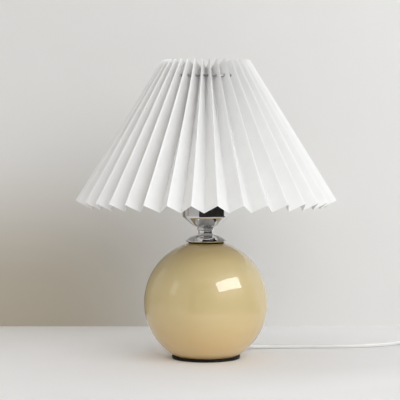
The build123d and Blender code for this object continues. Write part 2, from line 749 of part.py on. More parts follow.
def switch_base():
    """Lower shell with two screw bosses."""
    shell = switch_outline(0, SWITCH_BASE_HEIGHT)
    shell = fillet(shell.edges().group_by(Axis.Z)[0], SWITCH_ROUND)
    shell -= Pos(0, 0, SWITCH_WALL) * switch_outline(SWITCH_WALL, SWITCH_BASE_HEIGHT)
    for x, y in switch_screw_places():
        shell += Pos(x, y, 0) * upright(SCREW_BOSS_RADIUS, SWITCH_WALL, SWITCH_BASE_HEIGHT)
    for x, y in switch_screw_places():
        shell -= Pos(x, y, 0) * upright(SCREW_HEAD_RADIUS + SEAT_GAP, 0, SCREW_HEAD_HEIGHT + SEAT_GAP)
        shell -= Pos(x, y, 0) * upright(SCREW_RADIUS + SEAT_GAP, 0, SWITCH_BASE_HEIGHT)
    return stow(shell - switch_cord_holes())


def switch_cover():
    """Upper shell with the rocker's window, two pivot cheeks and two screw bosses."""
    low = SWITCH_BASE_HEIGHT
    high = low + SWITCH_COVER_HEIGHT
    centre = SWITCH_LENGTH / 2
    shell = Pos(0, 0, low) * switch_outline(0, SWITCH_COVER_HEIGHT)
    shell = fillet(shell.edges().group_by(Axis.Z)[-1], SWITCH_ROUND)
    shell -= Pos(0, 0, low) * switch_outline(SWITCH_WALL, SWITCH_COVER_HEIGHT - SWITCH_WALL)
    under_roof = high - SWITCH_WALL - ROCKER_PIVOT_Z
    window = 2 * (math.sqrt(ROCKER_RADIUS ** 2 - under_roof ** 2) + ROCKER_CLEAR)
    shell -= Pos(centre, 0, high) * Box(window, ROCKER_WIDTH + 2 * ROCKER_CLEAR, 3 * SWITCH_WALL)
    cheek_low = ROCKER_PIVOT_Z - CHEEK_DEPTH
    cheek_aside = ROCKER_WIDTH / 2 + ROCKER_CLEAR + SWITCH_WALL / 2
    for side in (-1, 1):
        shell += Pos(centre, side * cheek_aside, 0.5 * (cheek_low + high - SWITCH_WALL)) * Box(
            CHEEK_LENGTH, SWITCH_WALL, high - SWITCH_WALL - cheek_low
        )
    for x, y in switch_screw_places():
        shell += Pos(x, y, 0) * upright(SCREW_BOSS_RADIUS, low, high - SWITCH_WALL)
    for x, y in switch_screw_places():
        shell -= Pos(x, y, 0) * upright(SCREW_RADIUS + PRESS_GAP, low, SCREW_HEAD_HEIGHT + SCREW_LENGTH)
    pivot = Rot(90, 0, 0) * Cylinder(PIN_RADIUS + PRESS_GAP, SWITCH_WIDTH - 2 * SWITCH_WALL)
    shell -= Pos(centre, 0, ROCKER_PIVOT_Z) * pivot
    return stow(shell - switch_cord_holes())


def switch_rocker():
    """Rocker with round ends about its pin; the far half stands proud at rest."""
    top = SWITCH_BASE_HEIGHT + SWITCH_COVER_HEIGHT + ROCKER_PROUD
    rise = math.tan(math.radians(ROCKER_TRAVEL))
    drum = Pos(0, 0, ROCKER_PIVOT_Z) * Rot(90, 0, 0) * Cylinder(ROCKER_RADIUS, ROCKER_WIDTH)
    outline = Polyline(
        (-ROCKER_RADIUS, ROCKER_PIVOT_Z - ROCKER_DEPTH),
        (ROCKER_RADIUS, ROCKER_PIVOT_Z - ROCKER_DEPTH),
        (ROCKER_RADIUS, top + ROCKER_RADIUS * rise),
        (0, top),
        (-ROCKER_RADIUS, top),
        close=True,
    )
    slab = extrude(Plane.XZ * make_face(outline), ROCKER_WIDTH / 2, both=True)
    bore = Pos(0, 0, ROCKER_PIVOT_Z) * Rot(90, 0, 0) * Cylinder(PIN_RADIUS + PRESS_GAP, ROCKER_WIDTH)
    return stow(Pos(SWITCH_LENGTH / 2, 0, 0) * ((drum & slab) - bore))


def switch_pin():
    length = ROCKER_WIDTH + 2 * ROCKER_CLEAR + 2 * SWITCH_WALL
    pin = Rot(90, 0, 0) * Cylinder(PIN_RADIUS, length)
    return stow(Pos(SWITCH_LENGTH / 2, 0, ROCKER_PIVOT_Z) * pin)


def switch_screws():
    screw = upright(SCREW_HEAD_RADIUS, SEAT_GAP, SCREW_HEAD_HEIGHT)
    screw += upright(SCREW_RADIUS, SCREW_HEAD_HEIGHT, SCREW_HEAD_HEIGHT + SCREW_LENGTH - SEAT_GAP)
    return Compound([stow(Pos(x, y, 0) * screw) for x, y in switch_screw_places()])


def switch_contacts():
    """Fixed contact strips on the floor of the switch."""
    strip = Box(CONTACT_LENGTH, CONTACT_WIDTH, CONTACT_THICK, align=(Align.CENTER, Align.CENTER, Align.MIN))
    places = [SWITCH_LENGTH / 2 - CONTACT_SPACING / 2, SWITCH_LENGTH / 2 + CONTACT_SPACING / 2]
    return Compound([stow(Pos(x, 0, SWITCH_WALL) * strip) for x in places])


# Coil

def coil_centre():
    outer = coil_radius(0)
    return (SWITCH_LENGTH + COIL_LEAD, -outer)


def coil_radius(turn):
    """Radius of the coil's centre line: it spirals in to half way and out again."""
    inward = COIL_TURNS / 2
    inner = COIL_MEAN_RADIUS - COIL_PITCH * inward / 2
    return inner + COIL_PITCH * abs(inward - turn)


def coil_point(turn):
    """Point of the coil's centre line; it climbs one layer in the half turn at its middle."""
    climb = min(max((turn - COIL_TURNS / 2) / 0.5 + 0.5, 0), 1)
    z = COIL_REST_Z + COIL_LAYER * climb ** 2 * (3 - 2 * climb)
    angle = math.radians(90 - 360 * turn)
    x, y = coil_centre()
    along = x + coil_radius(turn) * math.cos(angle)
    aside = y + coil_radius(turn) * math.sin(angle)
    return Vector(along, aside, z)


def coil_heading(turn):
    """Direction of travel along the coil."""
    step = 0.02
    return (coil_point(turn + step) - coil_point(turn - step)).normalized()


def biarc(start, start_way, end, end_way):
    """Two tangent arcs from one point and direction to another."""
    span = end - start
    ways = start_way + end_way
    spread = 2 * (1 - start_way.dot(end_way))
    if spread < 1e-9:
        reach = span.dot(span) / (4 * span.dot(end_way))
    else:
        lead = span.dot(ways)
        reach = (-lead + math.sqrt(lead ** 2 + spread * span.dot(span))) / spread
    middle = (start + end + (start_way - end_way) * reach) * 0.5
    middle_way = (end - end_way * reach - start - start_way * reach).normalized()
    return [TangentArc(start, middle, tangent=start_way), TangentArc(middle, end, tangent=middle_way)]


def coil_path():
    """Centre line from the switch, round the coil and on to the plug."""
    ahead = Vector(1, 0, 0)
    entry = Vector(SWITCH_LENGTH - CORD_ENTRY, 0, SWITCH_BASE_HEIGHT)
    lead = Vector(SWITCH_LENGTH + COIL_STRAIGHT, 0, SWITCH_BASE_HEIGHT)
    x, y = coil_centre()
    outer = coil_radius(COIL_TURNS)
    tail = Vector(x - PLUG_TAIL + COIL_STRAIGHT, y - outer, PLUG_AXIS_Z)
    end = Vector(x - PLUG_TAIL, y - outer, PLUG_AXIS_Z)
    quarters = round(4 * COIL_TURNS)
    edges = [Line(entry, lead)]
    edges += biarc(lead, ahead, coil_point(0), coil_heading(0))
    for quarter in range(quarters):
        first = quarter / 4
        last = first + 0.25
        edges += biarc(coil_point(first), coil_heading(first), coil_point(last), coil_heading(last))
    edges += biarc(coil_point(COIL_TURNS), coil_heading(COIL_TURNS), tail, -ahead)
    edges.append(Line(tail, end))
    return edges


def least_self_gap(edges):
    """Least gap between stretches of the coil that are more than a few diameters apart along it."""
    points = []
    travelled = 0.0
    for edge in edges:
        steps = max(2, round(edge.length / 2))
        for step in range(steps):
            points.append((travelled + edge.length * step / steps, edge @ (step / steps)))
        travelled += edge.length
    least = math.inf
    for index, (place, point) in enumerate(points):
        for other_place, other in points[index + 1:]:
            if other_place - place > 4 * CORD_DIAMETER:
                least = min(least, (other - point).length)
    return least - CORD_DIAMETER


def cord_coil():
    edges = coil_path()
    path = Wire(edges)
    start = Plane(edges[0] @ 0, z_dir=edges[0] % 0)
    coil = sweep(start * Circle(CORD_RADIUS), path=path)
    length = sum(edge.length for edge in edges)
    expected = math.pi * CORD_RADIUS ** 2 * length
    print("cord_coil length", round(length, 1))
    print("cord_coil volume over section times length", round(coil.volume / expected, 5))
    print("cord_coil least gap to itself", round(least_self_gap(edges), 3))
    return stow(coil)


def coil_tie():
    """Strap round the coil's turns on its far side."""
    x, y = coil_centre()
    low = COIL_REST_Z - CORD_RADIUS - TIE_CLEAR
    high = COIL_REST_Z + COIL_LAYER + CORD_RADIUS + TIE_CLEAR
    inner = coil_radius(COIL_TURNS / 2) - CORD_RADIUS - TIE_CLEAR
    outer = coil_radius(0) + CORD_RADIUS + TIE_CLEAR
    middle = Pos(x + 0.5 * (inner + outer), y, 0.5 * (low + high))
    band = RectangleRounded(outer - inner + 2 * TIE_THICK, high - low + 2 * TIE_THICK, CORD_RADIUS)
    hole = RectangleRounded(outer - inner, high - low, CORD_RADIUS - TIE_THICK)
    strap = extrude(Plane.XZ * (band - hole), TIE_WIDTH / 2, both=True)
    return stow(middle * strap)


# Plug, modelled with its pins towards -X

def plug_front():
    x, y = coil_centre()
    return (x - PLUG_TAIL - PLUG_RELIEF - PLUG_LENGTH, y - coil_radius(COIL_TURNS))


def plug_pin_places():
    x, y = plug_front()
    return [(x, y + side * PIN_SPACING / 2) for side in (-1, 1)]


def plug_body():
    """Moulded plug that tapers from its face to the neck, with a tapered strain relief."""
    x, y = plug_front()
    way = Plane.YZ
    face = RectangleRounded(PLUG_WIDTH, PLUG_THICK, PLUG_THICK / 3)
    neck = RectangleRounded(PLUG_NECK_WIDTH, PLUG_NECK_THICK, PLUG_NECK_THICK / 3)
    shoulder = 0.4 * PLUG_LENGTH
    body = extrude(way * face, shoulder)
    body += loft([Pos(shoulder, 0, 0) * (way * face), Pos(PLUG_LENGTH, 0, 0) * (way * neck)])
    taper = loft([
        Pos(PLUG_LENGTH, 0, 0) * (way * Circle(PLUG_RELIEF_RADIUS)),
        Pos(PLUG_LENGTH + PLUG_RELIEF, 0, 0) * (way * Circle(PLUG_TIP_RADIUS)),
    ])
    body = Pos(x, y, PLUG_AXIS_Z) * (body + taper)
    for pin_x, pin_y in plug_pin_places():
        hole = Rot(0, 90, 0) * Cylinder(PLUG_PIN_ROOT_RADIUS + PRESS_GAP, 2 * PLUG_PIN_ROOT)
        body -= Pos(pin_x, pin_y, PLUG_AXIS_Z) * hole
    return stow(body)


def plug_pins():
    """Two round pins with rounded tips, each on a thinner root inside the body."""
    pin = Pos(-PLUG_PIN_LENGTH / 2, 0, 0) * Rot(0, 90, 0) * Cylinder(PLUG_PIN_RADIUS, PLUG_PIN_LENGTH)
    pin = fillet(pin.edges().group_by(Axis.X)[0], 0.4 * PLUG_PIN_RADIUS)
    pin += Pos(PLUG_PIN_ROOT / 2, 0, 0) * Rot(0, 90, 0) * Cylinder(PLUG_PIN_ROOT_RADIUS, PLUG_PIN_ROOT)
    return Compound([stow(Pos(x, y, PLUG_AXIS_Z) * pin) for x, y in plug_pin_places()])


PARTS = [
    foot_pad, base_plate, ceramic_globe, cord_boot, cord_inner, threaded_nipple, rubber_washer,
    steel_washer, clamp_nut, canopy_gasket, canopy, neck_spool, socket_cup, cup_nut,
    lampholder_cap, lampholder_insert, screw_shell, centre_contact, lampholder_barrel,
    shade_collar, bulb_contact, bulb_insulator, bulb_cap, bulb_body, bulb_dome, pleated_shade,
    top_ring, fitter_ring, carrier_spokes, cord_lead, switch_base, switch_cover, switch_rocker,
    switch_pin, switch_screws, switch_contacts, cord_coil, coil_tie, plug_body, plug_pins,
]

os.makedirs("parts", exist_ok=True)
for make in PARTS:
    export_step(make(), f"parts/{make.__name__}.step")
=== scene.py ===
import bpy
import json
import math
from mathutils import Matrix, Vector, noise


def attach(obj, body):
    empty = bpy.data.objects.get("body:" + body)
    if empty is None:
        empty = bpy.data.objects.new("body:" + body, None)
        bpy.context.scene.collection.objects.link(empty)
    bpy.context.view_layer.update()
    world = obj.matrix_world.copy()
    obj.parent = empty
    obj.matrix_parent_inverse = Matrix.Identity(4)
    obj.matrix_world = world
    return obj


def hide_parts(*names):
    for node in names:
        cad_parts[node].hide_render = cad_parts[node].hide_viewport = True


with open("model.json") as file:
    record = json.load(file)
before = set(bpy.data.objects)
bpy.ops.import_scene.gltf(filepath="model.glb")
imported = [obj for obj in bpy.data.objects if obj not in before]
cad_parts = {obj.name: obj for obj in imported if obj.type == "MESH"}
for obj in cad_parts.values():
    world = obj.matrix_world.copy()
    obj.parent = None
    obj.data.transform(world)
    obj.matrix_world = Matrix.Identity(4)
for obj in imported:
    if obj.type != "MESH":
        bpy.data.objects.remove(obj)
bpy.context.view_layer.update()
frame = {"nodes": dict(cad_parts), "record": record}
nodes = frame["nodes"]
scene = bpy.context.scene
scene.view_settings.view_transform = "Standard"


# Nodes that the materials are made of

NOISE_ROUGHNESS = 0.55

# A Mix node's sockets for colours, which share their names with its other sockets
MIX_FIRST, MIX_SECOND, MIX_RESULT = 6, 7, 2


def material(name):
    """New node material, with its tree and its Principled shader."""
    made = bpy.data.materials.new(name)
    made.use_nodes = True
    return made, made.node_tree, made.node_tree.nodes["Principled BSDF"]


def add(tree, kind, **values):
    """New node with its settings and its inputs' values."""
    node = tree.nodes.new(kind)
    for name, value in values.items():
        if hasattr(node, name):
            setattr(node, name, value)
        else:
            node.inputs[name.replace("_", " ")].default_value = value
    return node


def feed(tree, node, **sources):
    """Links from outputs to the node's inputs of those names."""
    for name, source in sources.items():
        tree.links.new(source, node.inputs[name.replace("_", " ")])


def object_coordinates(tree):
    """Place on the piece, in metres and in the piece's own frame."""
    return add(tree, "ShaderNodeTexCoord").outputs["Object"]


def noise_field(tree, scale, detail=4.0, stretch=None):
    """Noise over the piece, with its scale per metre; stretch scales the axes first."""
    place = object_coordinates(tree)
    if stretch:
        mapping = add(tree, "ShaderNodeMapping", Scale=stretch)
        feed(tree, mapping, Vector=place)
        place = mapping.outputs["Vector"]
    field = add(tree, "ShaderNodeTexNoise", Scale=scale, Detail=detail, Roughness=NOISE_ROUGHNESS)
    feed(tree, field, Vector=place)
    return field.outputs["Fac"]


def ramp(tree, source, low, high, start=0.3, end=0.7):
    """Colour ramp between two colours over part of a field's range."""
    node = add(tree, "ShaderNodeValToRGB")
    node.color_ramp.elements[0].position = start
    node.color_ramp.elements[1].position = end
    node.color_ramp.elements[0].color = (*low, 1)
    node.color_ramp.elements[1].color = (*high, 1)
    feed(tree, node, Fac=source)
    return node.outputs["Color"]


def spread(tree, source, low, high):
    """Field mapped to a range of values."""
    node = add(tree, "ShaderNodeMapRange", To_Min=low, To_Max=high)
    feed(tree, node, Value=source)
    return node.outputs["Result"]


def bump(tree, source, strength, distance):
    """Normal for a field taken as a height, with the distance in metres."""
    node = add(tree, "ShaderNodeBump", Strength=strength, Distance=distance)
    feed(tree, node, Height=source)
    return node.outputs["Normal"]


def height_share(tree, low, high, axis="Z"):
    """Smooth share from 0 at one height to 1 at another, or so along another axis."""
    split = add(tree, "ShaderNodeSeparateXYZ")
    feed(tree, split, Vector=object_coordinates(tree))
    node = add(
        tree, "ShaderNodeMapRange", interpolation_type="SMOOTHSTEP", From_Min=low, From_Max=high
    )
    feed(tree, node, Value=split.outputs[axis])
    return node.outputs["Result"]


def blend_colors(tree, share, first, second):
    """Mix of two colours or colour outputs."""
    node = add(tree, "ShaderNodeMix", data_type="RGBA")
    feed(tree, node, Factor=share)
    for socket, color in ((node.inputs[MIX_FIRST], first), (node.inputs[MIX_SECOND], second)):
        if isinstance(color, tuple):
            socket.default_value = (*color, 1)
        else:
            tree.links.new(color, socket)
    return node.outputs[MIX_RESULT]


# Materials, one for each slot of the record

# Heights over which painted warm bounce light fades in, towards the foot and towards the top
LOW_BOUNCE_TOP, LOW_BOUNCE_FOOT = 0.075, 0.010
TOP_BOUNCE_FOOT, TOP_BOUNCE_TOP = 0.105, 0.145
FINE_BUMP = 0.0002
METAL_GRAIN = 900.0
# Strength of the painted highlight on the ridges and the painted shade in the valleys
FOLD_LIGHT_STRENGTH = 0.30


def glaze():
    """Cream glaze: cloudy, painted warm bounce light towards the foot and the top, faint ripple,
    clear coat.
    """
    made, tree, shader = material("cream_glaze")
    cloud = noise_field(tree, 14.0, detail=5.0)
    speck = noise_field(tree, 260.0, detail=2.0)
    ripple = noise_field(tree, 42.0, detail=2.0)
    body = ramp(tree, cloud, (0.605, 0.479, 0.232), (0.640, 0.514, 0.262))
    # The warmer colours towards the foot and the top are painted warm bounce light, not the
    # glaze's own colour
    painted_low_bounce = ramp(tree, cloud, (0.650, 0.455, 0.200), (0.685, 0.490, 0.230))
    painted_top_bounce = ramp(tree, cloud, (0.720, 0.520, 0.225), (0.755, 0.555, 0.255))
    glaze_and_low_bounce = blend_colors(tree, height_share(tree, LOW_BOUNCE_TOP, LOW_BOUNCE_FOOT), body, painted_low_bounce)
    feed(
        tree, shader,
        Base_Color=blend_colors(tree, height_share(tree, TOP_BOUNCE_FOOT, TOP_BOUNCE_TOP), glaze_and_low_bounce, painted_top_bounce),
        Roughness=spread(tree, speck, 0.38, 0.48),
        Normal=bump(tree, ripple, 0.05, 0.0006),
    )
    shader.inputs["Coat Weight"].default_value = 1.0
    shader.inputs["Coat Roughness"].default_value = 0.02
    return made


def chrome():
    """Bright plate with faint turning marks and finger haze."""
    made, tree, shader = material("bright_chrome")
    haze = noise_field(tree, 60.0, detail=3.0)
    turning = noise_field(tree, 30.0, detail=2.0, stretch=(1, 1, 90))
    feed(
        tree, shader,
        Base_Color=ramp(tree, haze, (0.74, 0.74, 0.75), (0.82, 0.82, 0.83)),
        Roughness=spread(tree, haze, 0.04, 0.10),
        Normal=bump(tree, turning, 0.03, FINE_BUMP),
    )
    shader.inputs["Metallic"].default_value = 1.0
    return made


def metal(name, dark, light, low, high):
    """Plain metal with a fine grain in colour and roughness."""
    made, tree, shader = material(name)
    field = noise_field(tree, METAL_GRAIN, detail=3.0)
    feed(
        tree, shader,
        Base_Color=ramp(tree, field, dark, light),
        Roughness=spread(tree, field, low, high),
        Normal=bump(tree, field, 0.06, FINE_BUMP),
    )
    shader.inputs["Metallic"].default_value = 1.0
    return made


def moulded(name, dark, light, low, high, grain=1500.0, depth=0.08, specular=0.5):
    """Moulded plastic, rubber, porcelain or enamel with a fine skin texture."""
    made, tree, shader = material(name)
    tint = noise_field(tree, 30.0, detail=4.0)
    skin = noise_field(tree, grain, detail=2.0)
    feed(
        tree, shader,
        Base_Color=ramp(tree, tint, dark, light),
        Roughness=spread(tree, skin, low, high),
        Normal=bump(tree, skin, depth, FINE_BUMP),
    )
    shader.inputs["Specular IOR Level"].default_value = specular
    return made


def laminate():
    """White laminated paper: fibres, slight mottle, painted highlight on the ridges and painted
    shade in the valleys, a glow through the sheet.
    """
    made, tree, shader = material("shade_laminate")
    mottle = noise_field(tree, 55.0, detail=6.0)
    fibre = noise_field(tree, 700.0, detail=5.0, stretch=(1.0, 1.0, 0.35))
    # The fold value is +1 at ridges for a painted highlight and -1 at valleys for painted shade,
    # added to the mottle
    painted_fold_light = add(tree, "ShaderNodeAttribute", attribute_name="painted_fold_light").outputs["Fac"]
    tone = add(tree, "ShaderNodeMath", operation="MULTIPLY_ADD")
    tree.links.new(painted_fold_light, tone.inputs[0])
    tone.inputs[1].default_value = FOLD_LIGHT_STRENGTH
    tree.links.new(mottle, tone.inputs[2])
    feed(
        tree, shader,
        Base_Color=ramp(
            tree, tone.outputs["Value"], (0.785, 0.785, 0.78), (0.84, 0.84, 0.835),
            start=0.15, end=0.85,
        ),
        Roughness=spread(tree, fibre, 0.50, 0.70),
        Normal=bump(tree, fibre, 0.10, 0.0003),
    )
    shader.inputs["Subsurface Weight"].default_value = 0.5
    shader.inputs["Subsurface Radius"].default_value = (1.0, 1.0, 0.96)
    shader.inputs["Subsurface Scale"].default_value = 0.001
    return made


finishes = {
    "cream_glaze": glaze(),
    "bright_chrome": chrome(),
    "black_rubber": moulded(
        "black_rubber", (0.007, 0.006, 0.005), (0.012, 0.010, 0.009), 0.60, 0.80, specular=0.2
    ),
    "black_enamel": moulded(
        "black_enamel", (0.006, 0.005, 0.004), (0.011, 0.009, 0.007), 0.45, 0.60, specular=0.2
    ),
    "white_boot": moulded("white_boot", (0.74, 0.74, 0.72), (0.79, 0.79, 0.77), 0.40, 0.55),
    "cord_white": moulded(
        "cord_white", (0.76, 0.76, 0.745), (0.82, 0.82, 0.805), 0.32, 0.46, grain=700.0
    ),
    "zinc_steel": metal("zinc_steel", (0.42, 0.42, 0.43), (0.55, 0.55, 0.56), 0.25, 0.40),
    "holder_black": moulded(
        "holder_black", (0.010, 0.010, 0.010), (0.018, 0.018, 0.017), 0.35, 0.50
    ),
    "porcelain": moulded(
        "porcelain", (0.76, 0.75, 0.71), (0.82, 0.81, 0.77), 0.18, 0.30, grain=500.0
    ),
    "brass": metal("brass", (0.58, 0.38, 0.12), (0.68, 0.47, 0.17), 0.22, 0.36),
    "black_glass": moulded(
        "black_glass", (0.008, 0.008, 0.008), (0.014, 0.013, 0.013), 0.10, 0.20
    ),
    "nickel": metal("nickel", (0.55, 0.53, 0.50), (0.64, 0.62, 0.59), 0.18, 0.30),
    "bulb_white": moulded("bulb_white", (0.80, 0.80, 0.79), (0.84, 0.84, 0.83), 0.30, 0.42),
    "opal": moulded(
        "opal", (0.84, 0.84, 0.82), (0.88, 0.88, 0.86), 0.30, 0.40, grain=2200.0, depth=0.04
    ),
    "shade_white": laminate(),
    "switch_white": moulded(
        "switch_white", (0.76, 0.76, 0.745), (0.81, 0.81, 0.795), 0.28, 0.40
    ),
}
for entry in frame["record"]["subparts"]:
    mesh = nodes[entry["node"]].data
    mesh.materials.clear()
    mesh.materials.append(finishes[entry["material_slot"]])


# Cords on the table, in metres, with the routes of the CAD model

CORD_D = 0.005
CORD_Z = CORD_D / 2
SWITCH_CORD_Z = 0.0065
PLUG_CORD_Z = 0.0070
STOW_ORIGIN = Vector((0.2660, 0.1102, 0.0))
STOW_TURN = math.radians(20.5)


def stow_point(along, aside, z):
    """Point in the frame of switch, coil and plug, which starts at the switch's near end."""
    return STOW_ORIGIN + Matrix.Rotation(STOW_TURN, 3, "Z") @ Vector((along, aside, z))


def cord_curve(name, points):
    """Smooth cord with the route's points as its control points."""
    curve = bpy.data.curves.new(name, "CURVE")
    curve.dimensions = "3D"
    spline = curve.splines.new("NURBS")
    spline.points.add(len(points) - 1)
    for target, point in zip(spline.points, points):
        target.co = (*point, 1.0)
    spline.order_u = 3
    spline.use_endpoint_u = True
    spline.resolution_u = 8
    curve.bevel_depth = CORD_D / 2
    curve.bevel_resolution = 5
    curve.materials.append(finishes["cord_white"])
    piece = bpy.data.objects.new(name, curve)
    scene.collection.objects.link(piece)
    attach(piece, "base")
    return piece


BOOT_TURN = math.radians(50.0)
BOOT_DIP = math.radians(10.0)
BOOT_REACH = 0.048
BOOT_Z = 0.0110
BOOT_OUTSIDE = 0.0280
BOOT_AHEAD = 0.0126
BOOT_WALL = Vector((BOOT_REACH * math.cos(BOOT_TURN), BOOT_REACH * math.sin(BOOT_TURN), BOOT_Z))
BOOT_WAY = Vector((
    math.cos(BOOT_TURN) * math.cos(BOOT_DIP),
    math.sin(BOOT_TURN) * math.cos(BOOT_DIP),
    -math.sin(BOOT_DIP),
))
lead_points = [
    BOOT_WALL + BOOT_WAY * BOOT_OUTSIDE,
    BOOT_WALL + BOOT_WAY * (BOOT_OUTSIDE + BOOT_AHEAD),
    Vector((0.0688, 0.0746, 0.0029)),
    Vector((0.0860, 0.0776, CORD_Z)),
    Vector((0.1100, 0.0786, CORD_Z)),
    Vector((0.1400, 0.0792, CORD_Z)),
    Vector((0.1720, 0.0816, CORD_Z)),
    Vector((0.2000, 0.0870, CORD_Z)),
    Vector((0.2260, 0.0956, 0.0036)),
    stow_point(-0.0140, 0, SWITCH_CORD_Z),
    stow_point(0.0080, 0, SWITCH_CORD_Z),
]
lead = cord_curve("flex_lead", lead_points)
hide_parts("cord_lead")

COIL_TURNS = 7.5
COIL_STEPS = 24
COIL_INNER = 0.0196
COIL_PITCH = 0.0056
COIL_LAYER = 0.0056
COIL_REST = 0.0037
COIL_CLIMB_TURNS = 0.5
COIL_OUTER = COIL_INNER + COIL_PITCH * COIL_TURNS / 2
COIL_X = 0.0960

# Control points lie this much further out than the curve that they make
COIL_HUG = 2 / (1 + math.cos(math.pi / COIL_STEPS))


def coil_point(turn):
    """Control point of the coil: in to half way on the table, out again on top."""
    climb = min(max((turn - COIL_TURNS / 2) / COIL_CLIMB_TURNS + 0.5, 0), 1)
    z = COIL_REST + COIL_LAYER * climb ** 2 * (3 - 2 * climb)
    radius = (COIL_INNER + COIL_PITCH * abs(COIL_TURNS / 2 - turn)) * COIL_HUG
    angle = math.radians(90 - 360 * turn)
    return stow_point(COIL_X + radius * math.cos(angle), -COIL_OUTER + radius * math.sin(angle), z)


coil_points = [
    stow_point(0.0520, 0, SWITCH_CORD_Z),
    stow_point(0.0660, 0, SWITCH_CORD_Z),
    stow_point(0.0800, 0.0004, 0.0048),
]
coil_points += [
    coil_point(step / COIL_STEPS) for step in range(round(COIL_TURNS * COIL_STEPS) + 1)
]
coil_points += [
    stow_point(0.0820, -2 * COIL_OUTER - 0.0004, 0.0082),
    stow_point(0.0700, -2 * COIL_OUTER, PLUG_CORD_Z),
    stow_point(0.0640, -2 * COIL_OUTER, PLUG_CORD_Z),
]
coil = cord_curve("flex_coil", coil_points)
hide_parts("cord_coil")


# Pleated sheet of the shade, in metres, with the folds of the CAD model

PLEATS = 36
FOLDS = 2 * PLEATS
HALF_PITCH = math.pi / PLEATS
RIDGE_LOW = (0.1500, 0.1830)
RIDGE_HIGH = (0.0510, 0.3430)
FOLD_SLOPE = (RIDGE_LOW[0] - RIDGE_HIGH[0]) / (RIDGE_HIGH[1] - RIDGE_LOW[1])
PANEL_WIDTH = 0.0200
SHEET_THICK = 0.0006
RING_RADIUS = 0.0505
RING_Z = 0.3240
RING_HOLE = 0.0018

# Rows of the mesh up the shade, and places of its columns across one panel
ROWS = 18
ACROSS = (0.0, 0.05, 0.14, 0.32, 0.50, 0.68, 0.86, 0.95)

# Uneven spread of the pleats in degrees: a wave over the front and a stray, none at the ring
WAVE_SWING = 1.4
WAVE_COUNT = 3.5
WAVE_SHIFT = 18
WAVE_END = 130
WAVE_FADE = 20
STRAY_SWING = 0.9
STRAY_STEP = 0.11
STRAY_PLACE = (3.7, 0.4)
RING_RISE = 0.86

# Bow of the panels and softness of the folds in metres, and how sharply the painted highlight on
# the ridges and painted shade in the valleys fall off from the folds
BOW = 0.0009
BOW_STEP = 1.31
BOW_RISE = 1.6
BOW_PLACE = 0.2
FOLD_SOFT = 0.0004
FOLD_LIGHT_SHARPNESS = 5

CUTTER_AROUND = 180
CUTTER_ABOUT = 14
SHARP_ANGLE = math.radians(38)


def valley_end(radius, z):
    """Radius and height of a valley fold's end, one panel width from the ridge fold's end."""
    along = math.cos(HALF_PITCH)
    lean = 1 + FOLD_SLOPE ** 2
    square = lean * along ** 2 + math.sin(HALF_PITCH) ** 2
    linear = -2 * lean * radius * along
    constant = lean * radius ** 2 - PANEL_WIDTH ** 2
    end = (-linear - math.sqrt(linear ** 2 - 4 * square * constant)) / (2 * square)
    return end, z + (end * along - radius) * FOLD_SLOPE


def settle(theta, rise):
    """Turn of a fold by the uneven spread; theta is in degrees from the front."""
    fade = min(max((WAVE_END - abs(theta)) / WAVE_FADE, 0), 1)
    wave = -WAVE_SWING * math.cos(math.radians(WAVE_COUNT * (theta + WAVE_SHIFT))) * fade
    wave += STRAY_SWING * noise.noise(Vector((theta * STRAY_STEP, *STRAY_PLACE)))
    return math.radians(wave) * max(1 - rise / RING_RISE, 0)


def fold_point(fold, rise, inset):
    """Point of a fold line at a share of its length, on the sheet's outer or inner face."""
    ends = []
    for ridge in (RIDGE_LOW, RIDGE_HIGH):
        valley = valley_end(*ridge)
        wide = valley[0] * math.sin(HALF_PITCH)
        deep = ridge[0] - valley[0] * math.cos(HALF_PITCH)
        step = inset * SHEET_THICK * math.hypot(wide, deep) / wide
        radius, z = ridge if fold % 2 else valley
        ends.append(Vector((radius - step, 0, z)))
    theta = fold * 180 / PLEATS
    theta = theta - 360 if theta > 180 else theta
    place = ends[0].lerp(ends[1], rise)
    turn = math.radians(theta - 90) + settle(theta, rise)
    return Matrix.Rotation(turn, 3, "Z") @ place


def sheet_row(rise, inset):
    """Points round the shade at one height, with soft folds and panels that are not quite flat."""
    points = []
    folds = [fold_point(fold, rise, inset) for fold in range(FOLDS)]
    for fold, start in enumerate(folds):
        end = folds[(fold + 1) % FOLDS]
        side = (end - start).cross(Vector((0, 0, 1))).normalized()
        bow = BOW * noise.noise(Vector((fold * BOW_STEP, BOW_RISE * rise, BOW_PLACE)))
        bow *= 1 - rise ** 2
        for share in ACROSS:
            point = start.lerp(end, share) + side * bow * math.sin(math.pi * share)
            if share == 0:
                outward = Vector((start.x, start.y, 0)).normalized()
                soft = FOLD_SOFT + FOLD_SOFT * rise
                point -= outward * soft * (1 if fold % 2 else -1)
            points.append(point)
    return points


